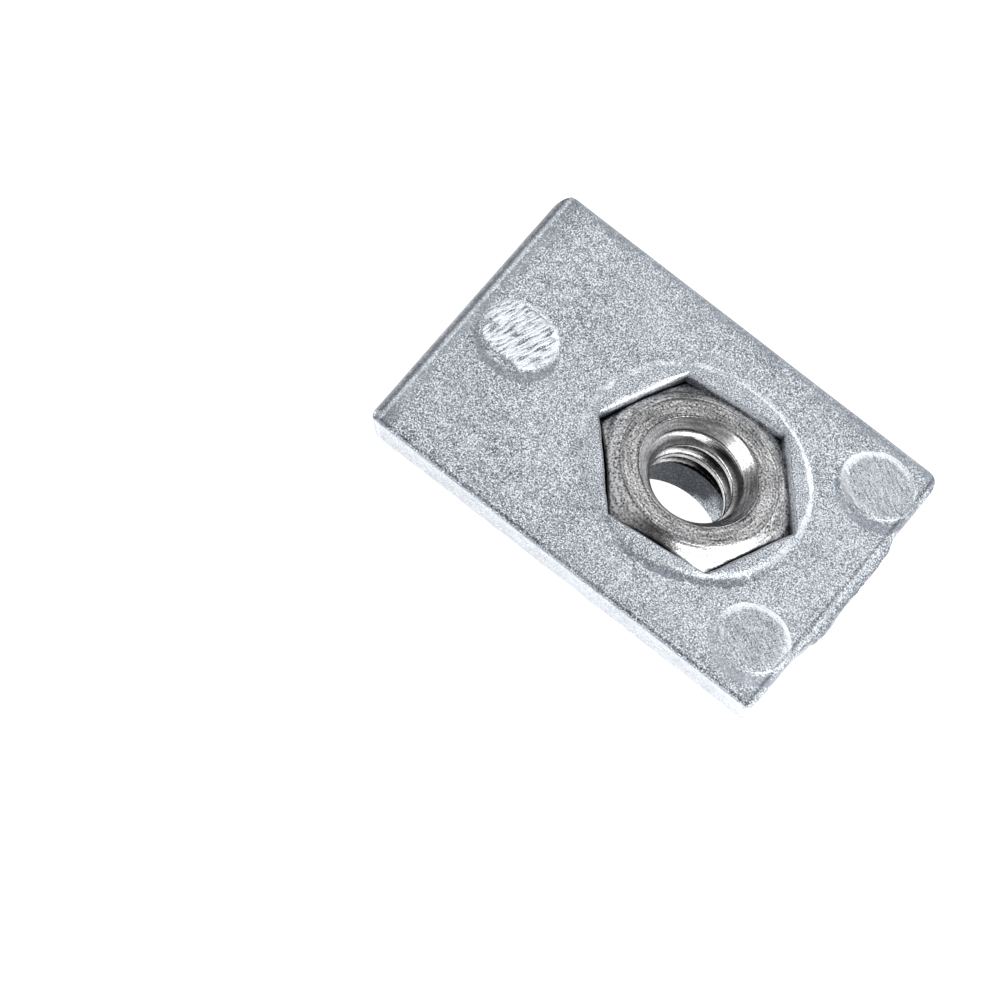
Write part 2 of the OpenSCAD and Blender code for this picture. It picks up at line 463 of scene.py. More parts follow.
def ring_relief(x, y):
    """Height of the ring above the wide face, with the wandering rim that a well-used mould leaves."""
    radius = np.hypot(x - RING_X, y)
    angle = np.arctan2(y, x - RING_X)
    round_the_ring = np.stack([np.cos(angle), np.sin(angle), 0 * angle], -1) * RING_RADIUS
    edge = RING_RADIUS + RING_WAVE * lumps(round_the_ring, size=3, seed=1)
    edge = edge + RING_CHIPS * lumps(round_the_ring, size=0.9, seed=2)
    return RING_HEIGHT * smooth((edge - radius) / RING_RIM)


def trough_relief(x, y):
    """The broken trough outside the ring, on the side towards the gate and the land."""
    angle = np.degrees(np.arctan2(y, x - RING_X))
    radius = np.hypot(x - RING_X, y)
    flat = np.stack([x, y, 0 * x], -1)
    middle = RING_RADIUS + TROUGH_OFFSET + TROUGH_WANDER * lumps(flat, size=1.7, seed=3)
    half_width = TROUGH_HALF_WIDTH + TROUGH_WANDER * lumps(flat, size=1.1, seed=4)
    start, end = TROUGH_ANGLES
    reach = smooth((angle - start) / TROUGH_FADE) * smooth((end - angle) / TROUGH_FADE)
    broken = 0.6 + 0.4 * lumps(flat, size=1.2, seed=5)
    return -TROUGH_DEPTH * reach * broken * smooth(1.4 - np.abs(radius - middle) / half_width)


def mark_relief(x, y):
    """Height of the three ejector-pin marks, each with a shallow halo on the side of the land."""
    total = 0
    for mark in MARKS:
        along, across = x - mark.x, y - mark.y
        inside = np.minimum(mark.radius - np.hypot(along, across), mark.half_flats - np.abs(across))
        halo = smooth(1 - np.abs(inside + MARK_HALO / 2) / (MARK_HALO / 2))
        toward_land = smooth(0.5 - across / mark.radius - 0.3 * along / mark.radius)
        total = total + MARK_HEIGHT * smooth(inside / MARK_RIM) - MARK_HALO_DEPTH * halo * toward_land
    return total


def gate_relief(places):
    """How far the torn stub of the gate stands out of the gate end."""
    x, y, z = places.T
    top = WIDE_FACE - GATE_TOP
    along = smooth((y - GATE_Y[0]) / GATE_TAPERS[0]) * smooth((GATE_Y[1] - y) / GATE_TAPERS[1])
    up = smooth((z - top + GATE_HEIGHT) / GATE_ROUNDS[0]) * smooth((top - z) / GATE_ROUNDS[1])
    torn = 0.75 + 0.25 * lumps(places, size=1.1, seed=6) + 0.2 * lumps(places, size=0.35, seed=7)
    return GATE_REACH * along * up * np.minimum(torn, 1)


def mesh_object(name, vertices, faces):
    """A smooth-shaded object from vertices in millimetres."""
    mesh = bpy.data.meshes.new(name)
    mesh.from_pydata((np.asarray(vertices) * MM).tolist(), [], [list(map(int, face)) for face in faces])
    mesh.polygons.foreach_set("use_smooth", np.ones(len(mesh.polygons), bool))
    mesh.update()
    made = bpy.data.objects.new(name, mesh)
    bpy.context.scene.collection.objects.link(made)
    return made


def casting_blank():
    """The casting without its pocket and hole."""
    xs = fine_ends(-HALF_LENGTH, HALF_LENGTH, FLAT_STEP, END_STEPS, EDGE_STEPS)
    shares = fine_ends(-HALF_WIDTH, HALF_WIDTH, FLAT_STEP, EDGE_STEPS, EDGE_STEPS) / HALF_WIDTH / 2 + 0.5
    zs = fine_ends(0, WIDE_FACE, WALL_STEP, EDGE_STEPS, UPPER_STEPS)
    places, quads = box_grid((len(xs), len(shares), len(zs)))
    z = zs[places[:, Z]]
    near_side = np.where(z > LAND_FOOT, HALF_WIDTH, NARROW_HALF + z * np.tan(SLANT))
    far_side = NARROW_HALF + z * np.tan(SLANT)
    share = shares[places[:, Y]]
    points = np.stack([xs[places[:, X]], -near_side * (1 - share) + far_side * share, z], -1)
    for _ in range(BLANK_PULLS):
        points -= blank_normal(points) * blank_distance(points)[:, None]
    normals = blank_normal(points)
    skewed = np.clip((points[:, X] - SKEW_START) / (HALF_LENGTH - SKEW_START), 0, 1)
    points[:, X] += GATE_SKEW * skewed * points[:, Y]
    x, y, z = points.T
    upward = smooth(normals[:, Z] * 2 - 1)
    relief = upward * (ring_relief(x, y) + trough_relief(x, y) + mark_relief(x, y))
    waves = SKIN_WAVE * lumps(points, size=5, seed=8) + SKIN_RIPPLE * lumps(points, size=1.1, seed=9)
    relief += smooth(z) * waves
    points = points + normals * relief[:, None]
    points[:, X] += smooth(normals[:, X] * 2 - 0.6) * gate_relief(points)
    return mesh_object("casting", points, quads)


def hexagon(apothem):
    """Points round a hexagon with the nut's turn."""
    corners = np.radians(HEX_TURN + 60 * np.arange(7))
    ring = np.stack([np.cos(corners), np.sin(corners)], -1) * apothem / np.cos(HALF_SECTOR)
    shares = np.arange(POINTS_A_SIDE) / POINTS_A_SIDE
    return np.concatenate([ring[k] + shares[:, None] * (ring[k + 1] - ring[k]) for k in range(6)])


def loft(name, rings):
    """A closed solid through rings of as many points each, from the lowest to the highest."""
    count = len(rings[0])
    vertices = np.concatenate(rings)
    turn = np.arange(count)
    after = (turn + 1) % count
    faces = [turn[::-1], turn + count * (len(rings) - 1)]
    for level in range(len(rings) - 1):
        low, high = level * count, (level + 1) * count
        faces += list(np.stack([turn + low, after + low, after + high, turn + high], -1))
    return mesh_object(name, vertices, faces)


def at_height(ring, z):
    """A ring of points, moved to the screw's axis and to a height."""
    return np.c_[ring[:, 0] + AXIS_X, ring[:, 1], np.broadcast_to(z, len(ring))]


def pocket_cutter():
    """The drafted hexagonal pocket, with a rounded lip that is wide round one angle."""
    ring = hexagon(APOTHEM)
    angle = np.degrees(np.arctan2(ring[:, 1], ring[:, 0]))
    off_wide_side = (angle - WIDE_LIP_ANGLE + 180) % 360 - 180
    lip = np.maximum(LIP, WIDE_LIP * smooth(1.5 - np.abs(off_wide_side) / WIDE_LIP_SPREAD))
    wander = MOUTH_WANDER * lumps(np.c_[ring, 0 * angle], size=0.7, seed=10)
    rings = [at_height(hexagon(APOTHEM + SEAT_CLEARANCE), NUT_LOW[Z])]
    for bend in np.radians(LIP_BENDS):
        mouth = ring * (1 + (MOUTH_CLEARANCE + wander + lip * (1 - np.cos(bend))) / APOTHEM)[:, None]
        drop = np.minimum(LIP_HEIGHT, LIP_STEEPNESS * lip) * (1 - np.sin(bend))
        rings.append(at_height(mouth + MOUTH_SHIFT, BODY_HIGH[Z] - drop))
    rings.append(rings[-1] + [0, 0, CUT_ABOVE])
    return loft("pocket_cutter", rings)


def hole_cutter():
    """The screw's hole through the web and the relief between the web and the nut."""
    angles = np.radians(np.arange(0, 360, 2.5))
    ring = np.stack([np.cos(angles), np.sin(angles)], -1)
    profile = [
        (HOLE_RADIUS + HOLE_EDGE + CUT_THROUGH, -CUT_THROUGH),
        (HOLE_RADIUS, HOLE_EDGE),
        (HOLE_RADIUS, WEB - HOLE_EDGE),
        (HOLE_RADIUS + HOLE_EDGE, WEB),
        (RELIEF_RADIUS, WEB),
        (RELIEF_RADIUS, NUT_LOW[Z] + HOLE_EDGE),
    ]
    return loft("hole_cutter", [at_height(ring * radius, z) for radius, z in profile])


def cut(target, cutter):
    """Takes the cutter out of the target."""
    change = target.modifiers.new("cut", "BOOLEAN")
    change.operation = "DIFFERENCE"
    change.solver = "MANIFOLD"
    change.object = cutter
    bpy.context.view_layer.update()
    solid = target.evaluated_get(bpy.context.evaluated_depsgraph_get())
    mesh = bpy.data.meshes.new_from_object(solid)
    target.modifiers.clear()
    target.data = mesh
    bpy.data.objects.remove(cutter)


def thread_radius(angle, z):
    """Radius of the thread's surface: a right-hand helix of ridges with soft edges."""
    total = 0
    shifts = np.linspace(-THREAD_ROUND, THREAD_ROUND, 5)
    for shift in shifts:
        turn = (z + shift - NUT_LOW[Z]) / PITCH - angle / (2 * np.pi) + THREAD_START
        off_root = np.abs(turn - np.round(turn)) * PITCH
        flank = ROOT_RADIUS - (off_root - ROOT_FLAT / 2) / np.tan(FLANK_ANGLE)
        total = total + np.clip(flank, BORE_RADIUS, ROOT_RADIUS) / len(shifts)
    return total


def hex_radius(angle):
    """Distance from the axis to the nut's flats, with lightly rounded corners."""
    off_corner = np.radians((np.degrees(angle) - HEX_TURN + 30) % 60 - 30)
    flat = APOTHEM / np.cos(HALF_SECTOR - np.abs(off_corner))
    centre = (APOTHEM - NUT_CORNER_ROUND) / np.cos(HALF_SECTOR)
    sideways = centre * np.sin(off_corner)
    arc = centre * np.cos(off_corner) + np.sqrt(np.maximum(NUT_CORNER_ROUND**2 - sideways**2, 0))
    return np.where(np.abs(sideways) < NUT_CORNER_ROUND / 2, arc, flat)


def nut_columns():
    """Angles of the nut's columns, closer together at the hexagon's corners."""
    plain = np.arange(0, 60, COLUMN_STEP)
    sector = np.unique(np.concatenate([plain, np.array(CORNER_COLUMNS) % 60]))
    return np.radians(HEX_TURN + np.concatenate([sector + 60 * k for k in range(6)]))


def threaded_nut():
    """The hex nut as one closed surface: bore, faces, chamfers and flats."""
    angle = nut_columns()
    low, high = NUT_LOW[Z], NUT_HIGH[Z]
    outer = hex_radius(angle)
    rows = []
    for z in np.linspace(low, high, BORE_ROWS):
        cone = COUNTERSINK_RADIUS - np.minimum(z - low, high - z) / COUNTERSINK_SLOPE
        wall = EDGE_BLEND * np.logaddexp(thread_radius(angle, z) / EDGE_BLEND, cone / EDGE_BLEND)
        rows.append((wall, np.full_like(angle, z)))
    face = np.linspace(COUNTERSINK_RADIUS, FACE_RADIUS, RIM_ROWS + 1)[1:]
    shares = np.linspace(0, 1, RIM_ROWS + 1)[1:]
    upper = [(np.full_like(angle, radius), np.full_like(angle, high)) for radius in face]
    for share in shares:
        radius = FACE_RADIUS + (outer - FACE_RADIUS) * share
        upper.append((radius, high - (radius - FACE_RADIUS) * CHAMFER_SLOPE))
    rows += upper
    rows += [(radius, low + high - z) for radius, z in upper[::-1]]
    points = [np.stack([AXIS_X + r * np.cos(angle), r * np.sin(angle), z], -1) for r, z in rows]
    count, levels = len(angle), len(rows)
    turn, after = np.arange(count), (np.arange(count) + 1) % count
    faces = []
    for level in range(levels):
        this, following = level * count, (level + 1) % levels * count
        faces.append(np.stack([turn + this, turn + following, after + following, after + this], -1))
    return mesh_object("threaded_nut", np.concatenate(points), np.concatenate(faces))


class Nodes:
    """Short calls for the nodes of a material or a world."""

    def __init__(self, tree):
        self.tree = tree

    def feed(self, socket, value):
        """Links another node's output to a socket, or sets the socket to a value."""
        if isinstance(value, bpy.types.NodeSocket):
            self.tree.links.new(value, socket)
        else:
            socket.default_value = value

    def node(self, kind, *values, **settings):
        """A new node, with its first inputs fed in their order."""
        made = self.tree.nodes.new(kind)
        for name, value in settings.items():
            setattr(made, name, value)
        for socket, value in zip(made.inputs, values):
            self.feed(socket, value)
        return made

    def math(self, operation, *values):
        return self.node("ShaderNodeMath", *values, operation=operation).outputs[0]

    def times(self, *values):
        """The product of several values."""
        return reduce(partial(self.math, "MULTIPLY"), values)

    def add(self, *values):
        """The sum of several values."""
        return reduce(partial(self.math, "ADD"), values)

    def highest(self, *values):
        return reduce(partial(self.math, "MAXIMUM"), values)

    def minus(self, value, other):
        return self.math("SUBTRACT", value, other)

    def off(self, value, place):
        """How far a value is from a place, either way."""
        return self.math("ABSOLUTE", self.minus(value, place))

    def rise(self, value, low, high, start=0, end=1):
        """A value's way from low to high, turned into one from start to end."""
        return self.node("ShaderNodeMapRange", value, low, high, start, end).outputs[0]

    def under(self, mask, factor):
        """A factor where the mask is 1, and 1 where it is 0."""
        return self.rise(mask, 0, 1, 1, factor)

    def spread(self, noise, low, high, half=0.15):
        """Noise, turned from half a width either side of 0.5 into low to high."""
        return self.rise(noise, 0.5 - half, 0.5 + half, low, high)

    def swing(self, noise, reach):
        """Noise, turned into a swing of a reach about 0."""
        return self.spread(noise, -reach, reach, 0.2)

    def toward(self, x, y, angle):
        """How far a place lies towards an angle in degrees."""
        angle = np.radians(angle)
        return self.add(self.times(x, float(np.cos(angle))), self.times(y, float(np.sin(angle))))

    def vector(self, x, y, z):
        return self.node("ShaderNodeCombineXYZ", x, y, z).outputs[0]

    def split(self, vector):
        return self.node("ShaderNodeSeparateXYZ", vector).outputs

    def scaled(self, vector, factor):
        """A vector or a colour, times a factor."""
        made = self.node("ShaderNodeVectorMath", vector, operation="SCALE")
        self.feed(made.inputs["Scale"], factor)
        return made.outputs[0]


class Finish(Nodes):
    """A new material, of metal at first. Its places are in millimetres."""

    def __init__(self, name, roughness):
        self.material = bpy.data.materials.new(name)
        self.material.use_nodes = True
        super().__init__(self.material.node_tree)
        self.shader = self.tree.nodes["Principled BSDF"]
        self.shader.inputs["Metallic"].default_value = 1
        self.feed(self.shader.inputs["Roughness"], roughness)
        self.places = self.scaled(self.node("ShaderNodeTexCoord").outputs["Object"], 1 / MM)
        self.x, self.y, self.z = self.split(self.places)
        self.flat = self.vector(self.x, self.y, 0)

    def noise(self, places, scale, detail=0):
        """Noise about 0.5, with so many waves a millimetre."""
        made = self.node("ShaderNodeTexNoise", places)
        made.inputs["Scale"].default_value = scale
        made.inputs["Detail"].default_value = detail
        return made.outputs["Fac"]

    def radius(self, x, y):
        """Distance from an upright line."""
        made = self.node("ShaderNodeVectorMath", self.flat, (x, y, 0), operation="DISTANCE")
        return made.outputs["Value"]

    def brushed(self, turn, scale, length):
        """Noise drawn out to a length along lines that are turned from the X axis."""
        turned = self.node("ShaderNodeVectorRotate", self.flat, rotation_type="Z_AXIS")
        turned.inputs["Angle"].default_value = -np.radians(turn)
        along, across, _ = self.split(turned.outputs[0])
        return self.noise(self.vector(self.math("DIVIDE", along, length), across, 0), scale, 2)

    def bump(self, height, depth):
        """Shades the surface as if the height, from 0 to 1, stood up to a depth."""
        made = self.node("ShaderNodeBump")
        made.inputs["Distance"].default_value = depth * MM
        made.inputs["Strength"].default_value = 1
        self.feed(made.inputs["Height"], height)
        self.feed(self.shader.inputs["Normal"], made.outputs["Normal"])

    def colour(self, colour, factor):
        self.feed(self.shader.inputs["Base Color"], self.scaled(colour, factor))


def casting_painted_shading(made, near_axis, soft, from_plain_end, from_far_side):
    """The casting's painted shade and light by area.

    Painted shade and painted highlights lie in bands along the wide face's sides, painted shade below its
    edges, low on its sides and inside, and in the hole it rises to painted light towards the gate end.
    """
    from_land = made.add(made.y, HALF_WIDTH)
    from_gate_end = made.minus(HALF_LENGTH, made.math("MULTIPLY_ADD", made.y, -GATE_SKEW, made.x))
    # Far below the wide face the gate end has no bands
    from_gate_end = made.highest(from_gate_end, made.rise(made.z, WIDE_FACE - 1.6, WIDE_FACE - 2.6))

    # Painted shade in the pocket's gap and the hole, rising to painted light low down towards the gate end
    above_floor = made.rise(made.z, 0, 0.05)
    shaded_gap = made.rise(made.z, NUT_HIGH[Z] - 0.62, NUT_HIGH[Z] - 0.75)
    inside = made.times(near_axis, above_floor, shaded_gap)
    into_light = made.add(made.minus(made.x, made.z), made.swing(soft, 1))
    hole_shade = made.rise(into_light, AXIS_X - 0.6, AXIS_X + 1.6, *HOLE_SHADES)
    # Painted shade just below the wide face's edges, but not along the land
    below_edge = made.times(
        made.rise(made.z, WIDE_FACE - 0.05, WIDE_FACE - 0.2),
        made.rise(made.z, WIDE_FACE - 1.4, WIDE_FACE - 0.8),
        made.rise(from_land, 0.6, 0.8),
    )
    # The painted shade of these areas, and painted shade low on the sides
    painted_shading = made.times(
        made.under(inside, hole_shade),
        made.under(below_edge, BELOW_EDGE_SHADE),
        made.rise(made.z, 6, 5, 1, LOW_SHADE),
    )
    # Painted shade and painted highlights in bands along each side
    for distance, bands in (
        (from_land, LAND_BANDS),
        (from_far_side, FAR_SIDE_BANDS),
        (from_plain_end, PLAIN_END_BANDS),
        (from_gate_end, GATE_END_BANDS),
    ):
        for outer, inner, shade in bands:
            painted_shading = made.times(painted_shading, made.rise(distance, outer, inner, 1, shade))
    return painted_shading


def in_broken_trough(made, from_ring, on_face):
    """Where the broken trough outside the ring shows, with jagged sides."""
    jagged = made.add(from_ring, made.swing(made.noise(made.places, 2.2, 2), RIM_WANDER))
    return made.times(
        made.rise(made.radius(*TROUGH_CENTRE), 5.5, 4),
        made.rise(made.off(jagged, RING_RADIUS + 0.16), 0.34, 0.3),
        made.rise(made.noise(made.places, 0.9, 2), 0.38, 0.4),
        on_face,
    )


def ring_and_mouth_highlights(made, near_axis, from_ring, on_face):
    """How much painted highlight brightens the ring's rim on its lit side and the pocket's mouth."""
    # The ring's painted highlight lies on one side of it
    on_ring = made.times(
        made.rise(from_ring, RING_RADIUS - 0.55, RING_RADIUS - 0.4),
        made.rise(from_ring, RING_RADIUS + 0.02, RING_RADIUS - 0.06),
        made.rise(made.radius(*RING_HIGHLIGHT_CENTRE), 10, 8.7),
        made.rise(made.noise(made.places, 1.3, 2), 0.4, 0.6, 0.15, 1),
        on_face,
    )
    at_mouth = made.times(near_axis, made.rise(made.z, BODY_HIGH[Z] - 0.01, BODY_HIGH[Z] - 0.04))
    on_wide_lip = made.times(
        at_mouth, made.rise(made.x, AXIS_X - 2.8, AXIS_X - 3.4), made.rise(made.y, -0.6, 0.2)
    )
    on_near_lip = made.times(
        at_mouth, made.rise(made.z, NUT_HIGH[Z] - 0.38, NUT_HIGH[Z] - 0.3), made.rise(made.y, 1, 0)
    )
    on_far_wall = made.times(
        at_mouth,
        made.rise(made.z, NUT_HIGH[Z] - 0.58, NUT_HIGH[Z] - 0.5),
        made.rise(made.y, 0.5, 1.5),
        made.under(on_wide_lip, 0),
    )
    highlight = made.add(
        made.times(on_ring, RING_HIGHLIGHT),
        made.times(on_wide_lip, WIDE_LIP_HIGHLIGHT),
        made.times(on_far_wall, FAR_WALL_HIGHLIGHT),
        made.times(on_near_lip, NEAR_LIP_HIGHLIGHT),
    )
    return made.times(highlight, made.spread(made.noise(made.places, 8, 2), *CHIPS))


def mark_areas(made, mark, wander, on_face):
    """Where an ejector pin's mark and its halo lie, and the painted highlight on the mark's rim."""
    from_rim = made.minus(made.add(made.radius(mark.x, mark.y), made.times(wander, 0.5)), mark.radius)
    on_mark = made.times(made.rise(from_rim, 0, -0.1), made.rise(made.z, WIDE_FACE + 0.04, WIDE_FACE + 0.08))
    halo = made.times(
        made.rise(made.radius(mark.x + 0.2, mark.y - 0.55), mark.radius + 0.3, mark.radius + 0.15),
        made.rise(from_rim, 0, 0.12),
        on_face,
    )
    along, across = mark.shine
    from_shine = made.radius(mark.x + along, mark.y + across)
    # A painted highlight on the rim round the shine, and a painted bright line just inside the rim
    rim_wear = made.times(
        made.rise(from_rim, -0.55, -0.35),
        made.rise(from_rim, 0.02, -0.05),
        made.rise(from_shine, mark.radius + 0.15, mark.radius - 0.4),
        mark.rim_wear,
    )
    line_wear = made.times(made.rise(made.off(from_rim, -0.1), 0.08, 0.04), mark.line_wear)
    return on_mark, halo, made.times(made.add(rim_wear, line_wear), on_face)


def tool_scratches(made, mark, lines):
    """Light and dark scratches along a mark's lines, with bright curls where it isn't hatched."""
    if mark.hatched:
        return made.rise(lines, 0.38, 0.54, *HATCH_LIFTS)
    curls = made.noise(made.vector(made.y, made.z, made.x), 2.6, 1)
    curls = made.rise(made.off(curls, 0.5), 0.04, 0.015, mark.tone, CURL_LIFT)
    return made.add(curls, made.spread(lines, *SCRATCH_LIFTS))


def cast_flecks(made, grain):
    """The cast grain's specks, its clumped sparkles and its bright curls."""
    elsewhere = made.vector(made.y, made.x, made.z)
    specks = made.spread(grain, *SPECK_LIFTS, 0.18)
    sparkles = made.rise(made.noise(elsewhere, ZINC_GRAIN, 1), 0.51, 0.67, 0, SPARKLE_LIFT)
    clumped = made.spread(made.noise(made.places, 1.1, 2), *SPARKLE_CLUMPS)
    curled = made.rise(made.off(made.noise(elsewhere, 3.2, 1), 0.5), 0.05, 0.015)
    curls = made.times(curled, made.rise(made.noise(made.places, 1.7), 0.5, 0.6, 0, CURL_LIFT))
    return made.add(specks, made.times(sparkles, clumped), curls)


def zinc():
    """Satin die-cast zinc: a sparkling grain, with painted highlights on its rims.

    Painted shade lies on its edges and inside.
    """
    made = Finish("cast_zinc", ROUGHNESS)
    soft = made.noise(made.places, 0.5, 3)
    wander = made.swing(soft, RIM_WANDER)
    from_ring = made.add(made.radius(RING_X, 0), wander)
    from_plain_end = made.add(made.x, HALF_LENGTH)
    from_far_side = made.minus(BLUNT_REACH, made.y)
    on_face = made.rise(made.z, WIDE_FACE - 0.35, WIDE_FACE - 0.2)
    reach = made.rise(made.z, WEB, WEB + 0.3, 5.4, 7.1)
    near_axis = made.rise(made.minus(made.radius(AXIS_X, 0), reach), 0, -0.2)

    # The grain fades where the skin is smooth: in the trough, along two sides and round the marks
    in_trough = in_broken_trough(made, from_ring, on_face)
    skin_wander = made.swing(made.noise(made.places, 0.6, 2), SKIN_WANDER)
    smooth_skin = made.highest(
        made.rise(made.add(from_plain_end, skin_wander), 1.35, 1),
        made.rise(made.add(from_far_side, skin_wander), 1.2, 0.8),
    )
    smoothed = made.highest(in_trough, made.times(smooth_skin, on_face, SMOOTH_SIDES))
    # A blotchy tone, painted shade towards the plain end, and a darker trough
    tone = made.times(
        made.spread(made.noise(made.places, 0.3, 3), *BLOTCH_SHADES),
        made.rise(made.x, -HALF_LENGTH, HALF_LENGTH, *END_TO_END_SHADES),
        made.under(in_trough, TROUGH_SHADE),
    )
    grain = made.noise(made.places, ZINC_GRAIN, 2)
    height = grain
    # Painted highlights on the ring's rim and the pocket's mouth, and below on the marks' rims
    highlight = ring_and_mouth_highlights(made, near_axis, from_ring, on_face)
    scratches = 0
    for mark in MARKS:
        on_mark, halo, mark_highlight = mark_areas(made, mark, wander, on_face)
        lines = made.brushed(mark.turn, TOOL_MARKS, TOOL_MARK_LENGTH)
        smoothed = made.add(smoothed, made.times(on_mark, SMOOTH_MARKS), halo)
        # A painted shadow in each mark's halo, and painted highlights on its rim
        tone = made.times(tone, made.under(halo, mark.halo_shade))
        highlight = made.add(highlight, mark_highlight)
        height = made.add(height, made.times(on_mark, made.swing(lines, TOOL_MARK_HEIGHT)))
        scratches = made.add(scratches, made.times(on_mark, tool_scratches(made, mark, lines)))
    flecks = made.times(cast_flecks(made, grain), made.under(smoothed, SMOOTH_GRAIN))

    # Painted shade and painted light by area
    painted_shading = casting_painted_shading(made, near_axis, soft, from_plain_end, from_far_side)
    shade = made.times(made.add(tone, flecks, highlight, scratches), painted_shading)
    darkest, brightest = SHADE_LIMITS
    shade = made.highest(made.math("MINIMUM", shade, brightest), darkest)
    tint = made.vector(*[made.rise(shade, 0.4, 1.4, dark, bright) for dark, bright in ZINC_TINTS])
    made.colour(tint, shade)
    # The grain's bumps are lower under the painted highlights
    made.bump(made.times(height, made.rise(highlight, 0, 0.3, 1, 0.3)), ZINC_BUMP)
    return made.material


def nut_painted_shade(made, radius, toward, in_bore):
    """The nut's painted shade: in the gap round it, along its near rim and in its thread."""
    # Below the chamfer's cone, whose tip lies above the nut
    tip = NUT_HIGH[Z] + FACE_RADIUS * CHAMFER_SLOPE
    below_chamfer = made.math("MULTIPLY_ADD", radius, -CHAMFER_SLOPE, made.minus(tip, made.z))
    shaded_gap = made.times(made.rise(radius, 5.2, 5.4), made.rise(below_chamfer, 0.05, 0.2))

    # Along the hexagon's rim on the near side
    sides = [made.math("ABSOLUTE", toward(HEX_TURN + 30 + 60 * side)) for side in range(3)]
    at_rim = made.rise(made.highest(*sides), APOTHEM - 0.14, APOTHEM - 0.06)
    at_rim = made.times(at_rim, made.rise(made.y, 1.5, 0))

    # In the thread's grooves, and on its last turn
    below_mouth = made.rise(made.z, NUT_HIGH[Z] - 0.9, NUT_HIGH[Z] - 1.1)
    in_groove = made.times(made.rise(radius, 2.58, 2.85), made.rise(radius, 3.5, 3.3), below_mouth)
    last_turn = made.times(in_bore, made.rise(made.z, NUT_LOW[Z] + 1.3, NUT_LOW[Z] + 1.1))
    return made.times(
        made.under(shaded_gap, GAP_SHADE),
        made.under(at_rim, RIM_SHADE),
        made.under(in_groove, GROOVE_SHADE),
        made.under(last_turn, LAST_TURN_SHADE),
    )


def stainless():
    """Turned stainless steel: dull on its face, bright in the bore.

    It has painted shade in the thread and the gap, and a painted reflection and painted light in places.
    """
    made = Finish("turned_stainless", ROUGHNESS)
    radius = made.radius(AXIS_X, 0)
    level = made.minus(made.x, AXIS_X)
    toward = partial(made.toward, level, made.y)
    in_bore = made.rise(radius, COUNTERSINK_RADIUS + 0.05, COUNTERSINK_RADIUS - 0.05)
    on_chamfer = made.rise(radius, FACE_RADIUS - 0.03, FACE_RADIUS + 0.1)
    glint = made.rise(toward(GLINT_ANGLE), 3, 4.2)
    shiny = made.highest(in_bore, made.times(on_chamfer, glint, 0.7))
    far_chamfer = made.times(on_chamfer, made.under(glint, 0))
    left_bore = made.times(in_bore, made.rise(toward(FACE_SHADE_ANGLE + 90), 1, 3.2))
    on_cone = made.times(in_bore, made.rise(radius, 2.8, 3))

    # Rings round the axis, that also change slowly with the angle
    inward = made.math("MULTIPLY_ADD", made.z, 0.7, radius)
    cosine = made.math("DIVIDE", made.times(level, 0.35), radius)
    sine = made.math("DIVIDE", made.times(made.y, 0.35), radius)
    rings = made.noise(made.vector(inward, cosine, sine), STEEL_RINGS, 2)
    rough = made.add(
        made.rise(shiny, 0, 1, ROUGHNESS, SHINY_ROUGHNESS),
        made.times(far_chamfer, FAR_CHAMFER_ROUGHER),
        made.times(left_bore, LEFT_BORE_ROUGHER),
        made.times(on_cone, made.spread(rings, 0, CONE_ROUGHER, 0.1)),
    )
    made.feed(made.shader.inputs["Roughness"], rough)

    # The turned face: two opposite sectors are darker, a painted reflection of its turning, and so are the
    # lines at its inner and outer rims
    grain = made.noise(made.places, STEEL_GRAIN, 2)
    across = made.math("DIVIDE", toward(FACE_SHADE_ANGLE), radius)
    sectors = made.add(made.times(across, across, -0.24), made.times(across, -0.13), 1.06)
    rims = (FACE_RADIUS, COUNTERSINK_RADIUS + 0.1)
    lines = made.highest(*[made.rise(made.off(radius, rim), 0.07, 0.03) for rim in rims])
    dull = made.times(
        made.spread(grain, *FACE_SPECKS, 0.2),
        made.spread(rings, *FACE_RINGS, 0.2),
        made.rise(lines, 0, 1, FACE_SHADE, FACE_LINE_SHADE),
        sectors,
        made.under(shiny, 0.7),
    )
    bare = made.add(dull, made.times(shiny, 0.5))
    # Painted light: the far side of the chamfer and the left of the bore are brighter
    bare = made.times(bare, made.under(far_chamfer, 1.4), made.under(left_bore, 1.3))
    # Painted shade in the gap, along the near rim and in the thread
    painted_shade = nut_painted_shade(made, radius, toward, in_bore)
    made.colour(STEEL_COLOUR, made.times(made.math("MINIMUM", bare, BRIGHTEST_STEEL), painted_shade))
    ring_height = made.times(rings, made.rise(shiny, 0, 1, 1.3, 0.55))
    grain_height = made.times(grain, made.rise(shiny, 0, 0.7, 1, 0.15))
    made.bump(made.add(ring_height, grain_height), STEEL_BUMP)
    return made.material


def paint(piece, material):
    piece.data.materials.clear()
    piece.data.materials.append(material)
    piece.data.set_sharp_from_angle(angle=np.radians(CREASE))


